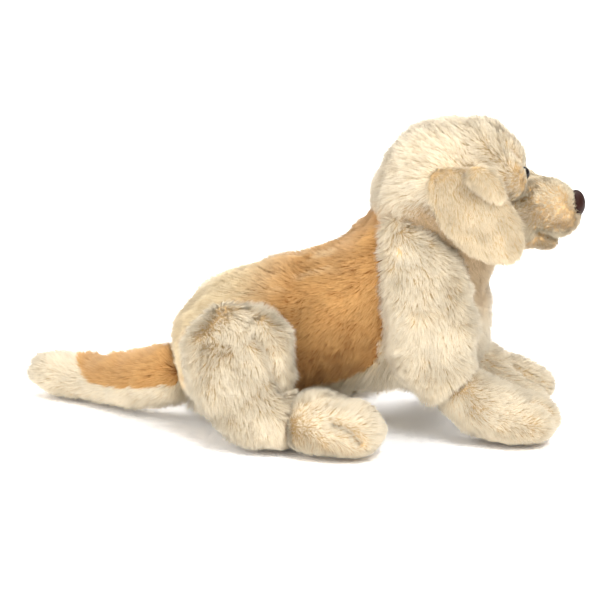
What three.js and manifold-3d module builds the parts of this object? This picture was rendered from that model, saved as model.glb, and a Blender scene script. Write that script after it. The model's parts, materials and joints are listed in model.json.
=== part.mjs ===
// A plush puppy that lies on its haunches and forepaws with its head up. Fur cloth sewn in panels is filled
// with loose fibre; the eyes and the nose are plastic, each locked by a washer behind the cloth.
// Millimetres, +Z up, nose towards +X, the dog's right side towards -Y, resting on Z = 0.
import * as THREE from "three";
import { mergeVertices } from "three/addons/utils/BufferGeometryUtils.js";
import Module from "manifold-3d";

const wasm = await Module();
wasm.setup();

// ---- Cloth and clearances ----
const seamGap = 0.6; // between pieces sewn edge to edge
const fillingGap = 1.6; // between cloth and filling
const furThickness = 7; // backing cloth with its pressed pile
const jointGap = 0.5; // round a rounded filling that turns in a hollow

// ---- Torso ----
const rumpEndX = -120;
const torsoLength = 297;
const rumpHalfWidth = 57; // the hind legs are sewn on outside this
const bellyHalfWidth = 63;
const chestHalfWidth = 40; // the front legs are sewn on outside this
const backHeight = 162;
const spineSeamY = 0;
const shoulderSeamAlong = 0.65; // where the back panels meet the chest panel

// ---- Neck and head ----
const neckTilt = THREE.MathUtils.degToRad(30); // forward from upright
const neckLength = 34;
const neckBallRadius = 54; // the rounded top of the neck, in the head's hollow
const neckRadius = neckBallRadius - 8;
const skullHalfLength = 68;
const skullHalfWidth = 65;
const skullHalfHeight = 60;
const headGussetHalfWidth = 18;
const muzzleLength = 64;
const muzzleHalfWidth = 33;
const muzzleHalfHeight = 31;
const jawDepth = 12;

// ---- Eyes and nose ----
const eyeRadius = 6.5;
const eyeShankRadius = 2;
const noseHalfWidth = 15;
const noseHalfHeight = 12.5;
const noseDepth = 9;
const noseShankRadius = 3;
const washerThickness = 1.6;
const washerMargin = 5; // how far a washer reaches past its shank
const shankTail = 4; // how far a shank goes on past its washer

// ---- Ears ----
const earWidth = 84;
const earDrop = 72;
const earPileThickness = 5;
const earLiningThickness = 4;
const earSplay = THREE.MathUtils.degToRad(7);

// ---- Legs ----
const wristRadius = 24;
const frontLegHalfWidth = 24;
const pawHalfWidth = 29;
const hockRadius = 25;
const thighHalfWidth = 26;
const footHalfWidth = 33;
const sewnDepth = 10; // how much of a leg's round side is cut flat against the torso

// ---- Tail ----
const tailRadius = 23;
const tailBallRadius = 20;
const tailClearance = 6; // between the tail's cloth and the rump's, where the rounded root is bare

// ---- Colours ----
const fabric = (color, roughness) => new THREE.MeshStandardMaterial({ color, roughness, metalness: 0 });
const creamFur = fabric(0xeeddba, 0.95);
const honeyFur = fabric(0xcf9c5d, 0.95);
const shortFur = fabric(0xe6cfa4, 0.9);
const fibreFilling = fabric(0xf6f4ee, 1);
const brownPlastic = fabric(0x2b1a17, 0.25);
const washerPlastic = fabric(0xdedede, 0.5);

// ---- Making solids ----
const FAR = 1000;
const point = (x, y, z) => new THREE.Vector3(x, y, z);
const up = point(0, 0, 1);
const forward = point(1, 0, 0);
const left = point(0, 1, 0);

// A three.js geometry as a solid that can be joined and cut.
function solid(geometry, matrix = new THREE.Matrix4()) {
  const flat = geometry.index ? geometry.toNonIndexed() : geometry;
  const bare = new THREE.BufferGeometry().setAttribute("position", flat.getAttribute("position"));
  const merged = mergeVertices(bare.applyMatrix4(matrix), 1e-4);
  return new wasm.Manifold(
    new wasm.Mesh({
      numProp: 3,
      vertProperties: merged.attributes.position.array,
      triVerts: new Uint32Array(merged.index.array),
    }),
  );
}

function geometryOf(piece) {
  const mesh = piece.getMesh();
  const made = new THREE.BufferGeometry();
  made.setAttribute("position", new THREE.BufferAttribute(new Float32Array(mesh.vertProperties), 3));
  made.setIndex(new THREE.BufferAttribute(new Uint32Array(mesh.triVerts), 1));
  const faceted = made.toNonIndexed();
  faceted.computeVertexNormals();
  return faceted;
}

// Superellipse rings round a curve through the stations, each {at, high, wide}. A ring stands across the
// curve with its width along Y, or upright across the dog. shrink takes that much off all round and off the
// ends, but not off a last ring that a ball covers.
function loft(stations, { sides = 16, square = 2.2, shrink = 0, upright = false, keepLast = false } = {}) {
  const middles = stations.map((s) => point(...s.at));
  const curve = new THREE.CatmullRomCurve3(middles);
  const tangentAt = (i) => (upright ? forward.clone() : curve.getTangent(i / (middles.length - 1)));
  const tangents = middles.map((_, i) => tangentAt(i));
  const along = [0];
  for (let i = 1; i < middles.length; i++) along.push(along[i - 1] + middles[i].distanceTo(middles[i - 1]));
  const end = along.at(-1) - (keepLast ? 0 : shrink);
  const rings = [];
  for (const far of [shrink, ...along.filter((d) => d > shrink + 1 && d < end - 1), end]) {
    const next = along.findIndex((d) => d >= far);
    const after = next < 0 ? along.length - 1 : Math.max(1, next);
    const share = (far - along[after - 1]) / (along[after] - along[after - 1]);
    const within = THREE.MathUtils.clamp(share, 0, 1);
    const mix = (name) => THREE.MathUtils.lerp(stations[after - 1][name], stations[after][name], within);
    const [high, wide] = [mix("high") - shrink, mix("wide") - shrink];
    if (Math.min(high, wide) < 0.8) continue;
    const centre = middles[after - 1].clone().lerp(middles[after], share);
    const tangent = tangents[after - 1].clone().lerp(tangents[after], within).normalize();
    const side = left.clone().addScaledVector(tangent, -left.dot(tangent)).normalize();
    rings.push({ centre, side, top: tangent.clone().cross(side), high, wide });
  }
  const bend = (value) => Math.sign(value) * Math.abs(value) ** (2 / square);
  const places = [];
  for (const { centre, side, top, high, wide } of rings) {
    for (let j = 0; j < sides; j++) {
      const turn = (2 * Math.PI * j) / sides;
      const at = centre.clone().addScaledVector(side, wide * bend(Math.cos(turn)));
      places.push(...at.addScaledVector(top, high * bend(Math.sin(turn))).toArray());
    }
  }
  const last = rings.length - 1;
  places.push(...rings[0].centre.toArray(), ...rings[last].centre.toArray());
  const [startPole, endPole] = [rings.length * sides, rings.length * sides + 1];
  const faces = [];
  for (let j = 0; j < sides; j++) {
    const next = (j + 1) % sides;
    for (let i = 0; i < last; i++) {
      const [a, b] = [i * sides + j, i * sides + next];
      faces.push(a, b, a + sides, b, b + sides, a + sides);
    }
    faces.push(startPole, next, j, endPole, last * sides + j, last * sides + next);
  }
  const made = new THREE.BufferGeometry();
  made.setAttribute("position", new THREE.Float32BufferAttribute(places, 3));
  made.setIndex(faces);
  return solid(made);
}

const station = (x, y, z, high, wide) => ({ at: [x, y, z], high, wide });

function ellipsoid(centre, halfX, halfY, halfZ, sides = 14) {
  const round = new THREE.SphereGeometry(1, sides, Math.round(sides * 0.6));
  const place = new THREE.Matrix4().makeTranslation(centre).scale(point(halfX, halfY, halfZ));
  return solid(round, place);
}

const ball = (centre, radius, sides = 14) => ellipsoid(centre, radius, radius, radius, sides);

// The hollow that a ball of this radius turns in: its flat facets stay clear of the ball at any angle.
function hollowFor(centre, radius, sides = 14) {
  const flats = Math.cos(Math.PI / sides) * Math.cos(Math.PI / (2 * Math.round(sides * 0.6)));
  return ball(centre, (radius + jointGap) / flats, sides);
}

// A turn that takes +Y, a cylinder's own axis, to the direction.
function facing(direction, at) {
  const turn = new THREE.Quaternion().setFromUnitVectors(left, direction.clone().normalize());
  return new THREE.Matrix4().compose(at, turn, point(1, 1, 1));
}

// A round rod from one point, along a direction.
function rod(from, direction, radius, length, sides = 10) {
  const middle = from.clone().addScaledVector(direction.clone().normalize(), length / 2);
  return solid(new THREE.CylinderGeometry(radius, radius, length, sides), facing(direction, middle));
}

// Everything on the side of a plane that its normal points to.
function sideOf(at, normal) {
  const middle = at.clone().addScaledVector(normal.clone().normalize(), FAR / 2);
  return solid(new THREE.BoxGeometry(FAR, FAR, FAR), facing(normal, middle));
}

// A side outline of [x, z] corners carried right across the dog.
function prismAcross(corners) {
  const shape = new THREE.Shape(corners.map(([x, z]) => new THREE.Vector2(x, z)));
  const deep = new THREE.ExtrudeGeometry(shape, { depth: FAR, bevelEnabled: false });
  const place = new THREE.Matrix4().makeRotationX(Math.PI / 2).setPosition(0, FAR / 2, 0);
  return solid(deep, place);
}

// Everything below a seam line of [x, z] corners, raised by some height.
function belowSeam(line, raised = 0) {
  const seam = line.map(([x, z]) => [x, z + raised]);
  return prismAcross([[seam[0][0], -FAR / 2], ...seam, [seam.at(-1)[0], -FAR / 2]]);
}

// The piece without the slivers that a cut may leave.
const biggest = (piece) => piece.decompose().reduce((a, b) => (a.volume() > b.volume() ? a : b));

const floorSide = sideOf(point(0, 0, 0), up);
const stuffedFloorSide = sideOf(point(0, 0, furThickness + fillingGap), up);
const fillingInset = furThickness + fillingGap;

const dog = new THREE.Group();

function add(name, piece, material) {
  const mesh = new THREE.Mesh(geometryOf(piece), material);
  mesh.name = name;
  dog.add(mesh);
  return mesh;
}

// A piece made on the right side, and its mirror image on the left.
function addPair(name, tail, piece, material) {
  add(`${name}_right${tail}`, piece, material);
  add(`${name}_left${tail}`, piece, material).scale.y = -1;
}

// ---- Places that pieces share ----
const torsoX = (along) => rumpEndX + torsoLength * along;
const neckAxis = point(Math.sin(neckTilt), 0, Math.cos(neckTilt));
const headPivot = point(torsoX(0.801), 0, backHeight + 34);
const neckBase = headPivot.clone().addScaledVector(neckAxis, -neckLength);
const belowNeck = sideOf(neckBase.clone().addScaledVector(neckAxis, -seamGap / 2), neckAxis.clone().negate());
const aboveNeckBase = sideOf(neckBase.clone().addScaledVector(neckAxis, seamGap / 2), neckAxis);
const tailPivot = point(rumpEndX - 4, 0, 46);
const tailBall = ball(tailPivot, tailBallRadius);
const tailHollow = hollowFor(tailPivot, tailBallRadius);

// ---- Torso ----
// Each row is how far along the torso, the underside, the top and the half width.
const torsoStations = [
  [0, 64, 76, 8],
  [0.01, 42, 94, 28],
  [0.04, 16, 110, 44],
  [0.094, -2, 124, rumpHalfWidth - 4],
  [0.2, -7, 146, rumpHalfWidth],
  [0.3, 2, backHeight - 6, rumpHalfWidth],
  [0.375, 10, backHeight - 2, rumpHalfWidth],
  [0.45, 18, backHeight, rumpHalfWidth],
  [0.51, 25, backHeight + 14, bellyHalfWidth],
  [0.57, 29, backHeight + 26, bellyHalfWidth - 8],
  [0.63, 31, backHeight + 40, chestHalfWidth],
  [0.75, 33, backHeight + 46, chestHalfWidth],
  [0.85, 38, backHeight + 34, chestHalfWidth],
  [0.92, 52, backHeight + 12, chestHalfWidth - 5],
  [0.965, 72, backHeight - 6, chestHalfWidth - 13],
  [1, 108, 130, 8],
].map(([along, under, top, wide]) => station(torsoX(along), 0, (under + top) / 2, (top - under) / 2, wide));

const torsoShape = { sides: 18, square: 2.3, upright: true };
const torsoShell = loft(torsoStations, torsoShape)
  .intersect(floorSide)
  .intersect(belowNeck)
  .subtract(loft(torsoStations, { ...torsoShape, shrink: furThickness }).intersect(
    sideOf(point(0, 0, furThickness), up),
  ))
  .subtract(tailHollow);

// The seam between the honey back and the pale underside climbs towards the shoulder.
const flankSeam = [
  [torsoX(-0.1), 30],
  [torsoX(0.2), 34],
  [torsoX(0.47), 50],
  [torsoX(0.58), 60],
  [torsoX(shoulderSeamAlong), 76],
  [torsoX(1.1), 66],
];
const upperShell = torsoShell.subtract(belowSeam(flankSeam, seamGap));
const shoulderSeam = point(torsoX(shoulderSeamAlong), 0, 0);
const backShell = upperShell.intersect(sideOf(shoulderSeam, forward.clone().negate()));
const chestFrom = shoulderSeam.clone().add(point(seamGap, 0, 0));
addPair(
  "back_fur",
  "",
  backShell.intersect(sideOf(point(0, spineSeamY - seamGap / 2, 0), left.clone().negate())),
  honeyFur,
);
add("chest_fur", upperShell.intersect(sideOf(chestFrom, forward)), creamFur);
add("belly_fur", torsoShell.intersect(belowSeam(flankSeam)), creamFur);
add(
  "torso_filling",
  loft(torsoStations, { ...torsoShape, shrink: fillingInset })
    .intersect(stuffedFloorSide)
    .intersect(belowNeck)
    .subtract(tailHollow),
  fibreFilling,
);

// ---- Neck: a ball on a short stub, under the head's hollow ----
const neck = (shrink) =>
  ball(headPivot, neckBallRadius - shrink, 16).add(
    rod(neckBase.clone().addScaledVector(neckAxis, -shrink), neckAxis, neckRadius - shrink, neckLength, 16),
  );
add("neck_fur", neck(0).subtract(neck(furThickness)).intersect(aboveNeckBase), creamFur);
add("neck_filling", neck(fillingInset).intersect(aboveNeckBase), fibreFilling);

// ---- Head ----
const skullCentre = headPivot.clone().add(point(13, 0, 34));
const napeCentre = headPivot.clone().add(point(-3, 0, 9));
function skull(grow) {
  const crown = ellipsoid(
    skullCentre,
    skullHalfLength + grow,
    skullHalfWidth + grow,
    skullHalfHeight + grow,
    18,
  );
  const nape = ellipsoid(
    napeCentre,
    skullHalfLength - 6 + grow,
    skullHalfWidth - 4 + grow,
    skullHalfHeight - 10 + grow,
    18,
  );
  return crown.add(nape);
}
const headCut = sideOf(headPivot.clone().addScaledVector(neckAxis, -4), neckAxis);
const neckHollow = hollowFor(headPivot, neckBallRadius, 16);

// The point of the crown's surface in a direction from its middle, and the surface's outward normal there.
function onCrown(direction) {
  const half = point(skullHalfLength, skullHalfWidth, skullHalfHeight);
  const at = direction.clone().divideScalar(direction.clone().divide(half).length());
  const normal = at.clone().divide(half).divide(half).normalize();
  return { at: at.add(skullCentre), normal };
}

// ---- Eyes: a plastic ball on a shank, with a locking washer behind the cloth ----
const eye = onCrown(point(62, -28, 7));
const eyeAt = eye.at.clone().addScaledVector(eye.normal, -1.5);
const inwardFromEye = eye.normal.clone().negate();
const eyeWasherDepth = furThickness + seamGap;
const eyeShankLength = eyeWasherDepth + washerThickness + shankTail;
const eyeball = (grow) => ball(eyeAt, eyeRadius + grow, 12);
const eyeShank = (grow) => rod(eyeAt, inwardFromEye, eyeShankRadius + grow, eyeShankLength + grow, 8);
function washer(from, direction, shankRadius, depth, grow) {
  const start = from.clone().addScaledVector(direction, depth - grow);
  const disc = rod(start, direction, shankRadius + washerMargin + grow, washerThickness + 2 * grow, 12);
  return grow ? disc : disc.subtract(rod(from, direction, shankRadius + seamGap / 2, FAR / 10, 8));
}
const eyeWasher = (grow) => washer(eyeAt, inwardFromEye, eyeShankRadius, eyeWasherDepth, grow);
addPair("eye", "", eyeball(0).add(eyeShank(0)), brownPlastic);
addPair("eye", "_washer", eyeWasher(0), washerPlastic);

const eyeHardware = eyeball(seamGap).add(eyeShank(seamGap)).add(eyeWasher(seamGap));
const mirrored = (piece) => piece.mirror([0, 1, 0]);
const skullShell = skull(0)
  .subtract(skull(-furThickness))
  .intersect(headCut)
  .subtract(neckHollow)
  .subtract(eyeHardware)
  .subtract(mirrored(eyeHardware));
const gussetEdge = (grow) => point(0, headGussetHalfWidth + grow, 0);
const gussetSlab = sideOf(gussetEdge(0), left.clone().negate()).intersect(
  sideOf(gussetEdge(0).negate(), left),
);
add("head_gusset_fur", skullShell.intersect(gussetSlab), creamFur);
addPair(
  "head_fur",
  "",
  skullShell.intersect(sideOf(gussetEdge(seamGap).negate(), left.clone().negate())),
  creamFur,
);
add(
  "head_filling",
  biggest(
    skull(-fillingInset)
      .intersect(headCut)
      .subtract(neckHollow)
      .subtract(eyeHardware)
      .subtract(mirrored(eyeHardware)),
  ),
  fibreFilling,
);

// ---- Muzzle, jaw and nose ----
const muzzleStartX = skullCentre.x + skullHalfLength - 20;
const muzzleX = (along) => muzzleStartX + (muzzleLength + 2) * along;
const muzzleZ = skullCentre.z - 29;
const muzzleStations = [
  [0, 2, 0.88, 0.9],
  [0.2, 1, 1, 1],
  [0.42, 0, 1, 0.97],
  [0.68, -3, 0.9, 0.88],
  [0.88, -5, 0.72, 0.7],
  [0.975, -5, 0.42, 0.42],
  [1, -4, 0.1, 0.1],
].map(([along, rise, high, wide]) =>
  station(muzzleX(along), 0, muzzleZ + rise, muzzleHalfHeight * high, muzzleHalfWidth * wide),
);
const muzzle = (shrink) => loft(muzzleStations, { sides: 16, shrink });
const noseAt = point(muzzleX(1) - 2, 0, muzzleZ + 2);
const noseCap = (grow) =>
  ellipsoid(noseAt, noseDepth + grow, noseHalfWidth + grow, noseHalfHeight + grow, 14).intersect(
    sideOf(noseAt.clone().add(point(-4 - grow, 0, 0)), forward),
  );
const backward = forward.clone().negate();
const noseWasherDepth = 4 + furThickness + seamGap;
const noseShank = (grow) =>
  rod(noseAt, backward, noseShankRadius + grow, noseWasherDepth + washerThickness + shankTail + grow, 8);
const noseWasher = (grow) => washer(noseAt, backward, noseShankRadius, noseWasherDepth, grow);
add("nose", noseCap(0).add(noseShank(0)), brownPlastic);
add("nose_washer", noseWasher(0), washerPlastic);
const noseHardware = noseCap(seamGap).add(noseShank(seamGap)).add(noseWasher(seamGap));
const skullGrown = skull(seamGap);
add(
  "muzzle_fur",
  muzzle(0).subtract(muzzle(furThickness)).subtract(skullGrown).subtract(noseHardware),
  shortFur,
);
add(
  "muzzle_filling",
  muzzle(fillingInset).subtract(skullGrown).subtract(noseHardware),
  fibreFilling,
);
const jawZ = muzzleZ - muzzleHalfHeight + 2;
const jawStations = [
  [0.05, 4, 0.8, 0.5],
  [0.25, 1, 1, 0.66],
  [0.5, 0, 0.95, 0.7],
  [0.7, 1, 0.8, 0.58],
  [0.79, 2, 0.5, 0.36],
  [0.82, 3, 0.1, 0.1],
].map(([along, rise, high, wide]) =>
  station(muzzleX(along), 0, jawZ + rise, jawDepth * high, muzzleHalfWidth * wide),
);
const muzzleGrown = loft(
  muzzleStations.map((s) => ({ ...s, high: s.high + seamGap, wide: s.wide + seamGap })),
  { sides: 16 },
);
add(
  "jaw_fur",
  loft(jawStations, { sides: 14 }).subtract(muzzleGrown).subtract(skullGrown),
  shortFur,
);

// ---- Ears: a pile side and a lining, hung from the temples ----
const earRoot = point(skullCentre.x + 13, -(skullHalfWidth + 1.5), skullCentre.z + 6);
// The drooping leaf, as [forward, down] shares of its width and drop.
const earOutline = [
  [0.37, 0],
  [0.46, 0.25],
  [0.5, 0.6],
  [0.44, 0.86],
  [0.24, 1],
  [0.04, 0.92],
  [-0.16, 0.7],
  [-0.36, 0.4],
  [-0.48, 0.12],
  [-0.45, 0],
].map(([ahead, down]) => new THREE.Vector2(ahead * earWidth, -down * earDrop));
function earLayer(inner, thickness) {
  const leaf = new THREE.ExtrudeGeometry(new THREE.Shape(earOutline), {
    depth: thickness,
    bevelEnabled: false,
  });
  leaf.rotateX(Math.PI / 2); // the leaf hangs, and its thickness runs outwards to the right side
  leaf.translate(0, -inner, 0);
  leaf.rotateX(-earSplay);
  return solid(leaf, new THREE.Matrix4().makeTranslation(earRoot));
}
addPair("ear_lining", "", earLayer(0, earLiningThickness), shortFur);
addPair("ear_fur", "", earLayer(earLiningThickness + seamGap, earPileThickness), creamFur);

// ---- Limbs: a filled sleeve that ends in a ball, and a foot that is hollowed round that ball ----
function addLimb(name, footName, { sleeve, besideTorso, pivot, pivotRadius, foot, towards }) {
  const sleeveShape = { sides: 16, square: 2.2, keepLast: true };
  const filled = (inset) =>
    loft(sleeve, { ...sleeveShape, shrink: inset })
      .add(ball(pivot, pivotRadius - inset))
      .intersect(sideOf(point(0, 0, inset), up));
  // The sleeve is open where it is sewn to the torso.
  addPair(name, "_fur", filled(0).subtract(filled(furThickness)).intersect(besideTorso), creamFur);
  addPair(name, "_filling", filled(fillingInset).intersect(besideTorso), fibreFilling);
  const rim = sideOf(pivot.clone().addScaledVector(towards, pivotRadius * 0.38), towards);
  const socket = ball(pivot, pivotRadius + jointGap);
  const footShape = { sides: 14, square: 2.4 };
  const footOuter = biggest(
    loft(foot, footShape).intersect(rim).intersect(floorSide).subtract(socket).subtract(filled(-seamGap)),
  );
  const footInner = (inset) =>
    loft(foot, { ...footShape, shrink: inset }).intersect(sideOf(point(0, 0, inset), up));
  addPair(footName, "_fur", footOuter.subtract(footInner(furThickness)), creamFur);
  addPair(footName, "_filling", footInner(fillingInset).intersect(rim).subtract(socket), fibreFilling);
}

// Front legs: sewn flat against the chest, with a wrist seam above a broad paw.
const shoulder = point(torsoX(0.768), -(chestHalfWidth + seamGap), backHeight - 34);
const wrist = point(shoulder.x + 24, shoulder.y - wristRadius - 2, 53);
const frontLegY = shoulder.y - frontLegHalfWidth + sewnDepth;
const legZ = (share) => shoulder.z - (shoulder.z - wrist.z) * share;
addLimb("front_leg", "front_paw", {
  sleeve: [
    station(shoulder.x, frontLegY + 4, shoulder.z + 32, 5, 5),
    station(shoulder.x, frontLegY + 3, shoulder.z + 28, 18, frontLegHalfWidth * 0.6),
    station(shoulder.x, frontLegY + 1, shoulder.z + 16, 31, frontLegHalfWidth * 0.85),
    station(shoulder.x - 1, frontLegY, legZ(0.053), 39, frontLegHalfWidth),
    station(shoulder.x - 1, frontLegY, legZ(0.373), 40, frontLegHalfWidth),
    station(shoulder.x + 3, frontLegY, legZ(0.667), 34, frontLegHalfWidth),
    station(shoulder.x + 13, frontLegY, legZ(0.867), 28, frontLegHalfWidth),
    station(wrist.x, wrist.y, wrist.z, wristRadius * 0.88, wristRadius * 0.88),
  ],
  besideTorso: sideOf(shoulder, left.clone().negate()),
  pivot: wrist,
  pivotRadius: wristRadius,
  foot: [
    station(wrist.x - 6, wrist.y, wrist.z + 6, wristRadius + 1, wristRadius),
    station(wrist.x + 14, wrist.y, wrist.z - 16, wristRadius + 4, pawHalfWidth - 4),
    station(wrist.x + 38, wrist.y + 1, 24, 26, pawHalfWidth - 1),
    station(wrist.x + 64, wrist.y + 2, 20, 22, pawHalfWidth),
    station(wrist.x + 82, wrist.y + 2, 19, 17, pawHalfWidth * 0.82),
    station(wrist.x + 91, wrist.y + 2, 18, 9, pawHalfWidth * 0.42),
    station(wrist.x + 93, wrist.y + 2, 18, 2, 3),
  ],
  towards: point(0.7, 0, -0.71).normalize(),
});

// Hind legs: a broad thigh against the rump, turned out, with a hock seam behind a long foot.
const hip = point(torsoX(0.196), -(rumpHalfWidth + seamGap), 92);
const thighY = hip.y - thighHalfWidth + sewnDepth;
const hock = point(hip.x + 47, hip.y - thighHalfWidth - 14, hockRadius + 2);
addLimb("hind_leg", "hind_foot", {
  sleeve: [
    station(hip.x - 4, thighY + 10, hip.z + 42, 5, 5),
    station(hip.x - 4, thighY + 9, hip.z + 38, 20, thighHalfWidth * 0.55),
    station(hip.x - 3, thighY + 4, hip.z + 22, 38, thighHalfWidth * 0.85),
    station(hip.x, thighY, hip.z - 4, 49, thighHalfWidth),
    station(hip.x + 8, thighY - 4, hip.z - 30, 45, thighHalfWidth + 2),
    station(hip.x + 24, thighY - 9, hip.z - 52, 34, thighHalfWidth + 1),
    station(hock.x, hock.y, hock.z, hockRadius * 0.88, hockRadius * 0.88),
  ],
  besideTorso: sideOf(hip, left.clone().negate()),
  pivot: hock,
  pivotRadius: hockRadius,
  foot: [
    station(hock.x - 8, hock.y + 1, hock.z, hockRadius + 2, hockRadius),
    station(hock.x + 16, hock.y - 4, 30, hockRadius + 6, footHalfWidth - 4),
    station(hock.x + 42, hock.y - 8, 27, 28, footHalfWidth),
    station(hock.x + 66, hock.y - 10, 25, 24, footHalfWidth - 2),
    station(hock.x + 81, hock.y - 11, 23, 16, footHalfWidth * 0.66),
    station(hock.x + 87, hock.y - 11, 22, 7, footHalfWidth * 0.3),
  ],
  towards: point(0.98, -0.17, 0).normalize(),
});

// ---- Tail: curls to the left side and lies on the floor ----
const tailStations = [
  station(tailPivot.x + 4, 0, tailPivot.z, tailRadius - 1, tailRadius - 2),
  station(tailPivot.x - 10, 8, tailPivot.z - 6, tailRadius, tailRadius - 1),
  station(tailPivot.x - 30, 24, tailPivot.z - 14, tailRadius, tailRadius),
  station(tailPivot.x - 52, 44, tailRadius + 2, tailRadius, tailRadius),
  station(tailPivot.x - 80, 64, tailRadius, tailRadius, tailRadius),
  station(tailPivot.x - 106, 76, tailRadius, tailRadius, tailRadius),
  station(tailPivot.x - 122, 82, tailRadius, tailRadius * 0.7, tailRadius * 0.7),
  station(tailPivot.x - 130, 84, tailRadius, tailRadius * 0.16, tailRadius * 0.16),
];
const tailWay = point(-0.83, 0.42, -0.36).normalize();
const tailRim = sideOf(tailPivot.clone().addScaledVector(tailWay, 14), tailWay);
const tail = (shrink) =>
  loft(tailStations, { sides: 14, shrink })
    .intersect(sideOf(point(0, 0, shrink), up));
const besideRump = loft(torsoStations, { ...torsoShape, shrink: -tailClearance }).add(tailHollow);
const tailShell = tail(0).subtract(tail(furThickness)).intersect(tailRim).subtract(besideRump);
// The honey top panel stops short of the pale tip.
const honeyEdge = (gap) =>
  prismAcross([
    [tailPivot.x + 20, tailPivot.z + gap],
    [tailPivot.x + 20, FAR / 4],
    [tailPivot.x - 118, FAR / 4],
    [tailPivot.x - 100 + gap, tailRadius + 16],
    [tailPivot.x - 76 + gap, tailRadius - 4 + gap],
    [tailPivot.x - 40, tailRadius + gap],
  ]);
add("tail_top_fur", tailShell.intersect(honeyEdge(seamGap)), honeyFur);
add("tail_under_fur", tailShell.subtract(honeyEdge(0)), creamFur);
add("tail_filling", tail(fillingInset).intersect(tailRim).subtract(besideRump), fibreFilling);
add("tail_root_filling", tailBall, fibreFilling);

// ---- The origin is the middle of the footprint, on the floor ----
const extent = new THREE.Box3().setFromObject(dog);
dog.position.set(-(extent.min.x + extent.max.x) / 2, -(extent.min.y + extent.max.y) / 2, -extent.min.z);
const plushDog = new THREE.Group();
plushDog.add(dog);

export default plushDog;
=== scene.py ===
"""Looks of a lying plush dog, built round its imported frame: sewn skins, their fur, plastic eyes and nose.

Every piece is placed from the frame's own joints and node boxes. Sizes in the tables are millimetres from
the joint that is named beside them, +X towards the nose, -Y towards the dog's right side, +Z up.
"""

import json
import math

import bmesh
import bpy
import numpy as np
from mathutils import Matrix, Vector
from mathutils.bvhtree import BVHTree
from mathutils.kdtree import KDTree


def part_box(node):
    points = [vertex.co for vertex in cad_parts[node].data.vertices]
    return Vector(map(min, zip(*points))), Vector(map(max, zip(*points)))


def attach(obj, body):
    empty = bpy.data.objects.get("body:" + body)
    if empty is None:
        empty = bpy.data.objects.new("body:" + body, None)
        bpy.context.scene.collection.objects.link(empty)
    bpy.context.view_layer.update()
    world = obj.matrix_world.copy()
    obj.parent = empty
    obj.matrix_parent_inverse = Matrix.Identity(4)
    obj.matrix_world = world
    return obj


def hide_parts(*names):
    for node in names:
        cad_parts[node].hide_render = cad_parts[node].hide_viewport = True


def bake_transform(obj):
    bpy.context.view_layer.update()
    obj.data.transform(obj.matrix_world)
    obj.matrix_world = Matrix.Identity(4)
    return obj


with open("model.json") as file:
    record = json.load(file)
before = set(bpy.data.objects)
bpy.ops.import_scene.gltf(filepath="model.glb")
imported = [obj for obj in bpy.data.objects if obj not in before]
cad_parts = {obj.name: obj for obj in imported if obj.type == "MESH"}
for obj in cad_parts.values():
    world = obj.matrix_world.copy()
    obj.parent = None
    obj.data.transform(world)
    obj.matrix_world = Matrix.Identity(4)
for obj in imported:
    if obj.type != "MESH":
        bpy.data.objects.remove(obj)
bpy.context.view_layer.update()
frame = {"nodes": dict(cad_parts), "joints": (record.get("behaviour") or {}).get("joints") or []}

bl_info = {
    "name": "Plush dog",
    "version": (1, 0, 0),
    "blender": (4, 5, 0),
    "location": "3D View > Sidebar > Plush dog",
    "description": "Builds a lying plush dog with a combed fur pile",
    "category": "Add Mesh",
}

MM = 0.001
SIDES = {"right": -1, "left": 1}

JOINT_AT = {j["name"]: Vector(j["pos_m"]) for j in frame["joints"]}
NECK = JOINT_AT["neck_turn"]
NECK_AXIS = next(Vector(j["axis"]) for j in frame["joints"] if j["name"] == "neck_turn").normalized()
SHOULDER = JOINT_AT["front_leg_right_swing"]
HIP = JOINT_AT["hind_leg_right_swing"]
EAR = JOINT_AT["ear_right_lift"]
TAIL = JOINT_AT["tail_wag"]


# ---- Small maths ---------------------------------------------------------------------------------------


def linear(colour):
    """An sRGB colour as linear RGB."""
    c = np.asarray(colour, float)[..., :3]
    return np.where(c <= 0.04045, c / 12.92, ((c + 0.055) / 1.055) ** 2.4)


def unit(v):
    return v / np.maximum(np.linalg.norm(v, axis=-1, keepdims=True), 1e-9)


def smooth(x, low, high):
    t = np.clip((x - low) / (high - low), 0, 1)
    return t * t * (3 - 2 * t)


LATTICE = np.random.default_rng(11).random((24, 24, 24, 3)) * 2 - 1


def noise(points, size):
    """Soft noise of three channels from -1 to 1, whose lumps are about size metres wide."""
    p = points / size
    cell = np.floor(p).astype(int)
    f = p - cell
    f = f * f * (3 - 2 * f)
    total = np.zeros((len(points), 3))
    for corner in range(8):
        step = np.array([corner & 1, corner >> 1 & 1, corner >> 2 & 1])
        weight = np.prod(np.where(step, f, 1 - f), axis=1, keepdims=True)
        at = (cell + step) % len(LATTICE)
        total += weight * LATTICE[at[:, 0], at[:, 1], at[:, 2]]
    return total * 1.6


# ---- Making skins --------------------------------------------------------------------------------------


def catmull(rows, steps):
    """The rows with a smooth curve's points between them."""
    rows = np.asarray(rows, float)
    padded = np.vstack([2 * rows[0] - rows[1], rows, 2 * rows[-1] - rows[-2]])
    out = []
    for a, b, c, d in zip(padded, padded[1:], padded[2:], padded[3:]):
        for t in np.linspace(0, 1, steps, endpoint=False):
            square, cube = 2 * a - 5 * b + 4 * c - d, 3 * b - a - 3 * c + d
            out.append(0.5 * (2 * b + (c - a) * t + square * t**2 + cube * t**3))
    out.append(rows[-1])
    return np.array(out)


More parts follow.
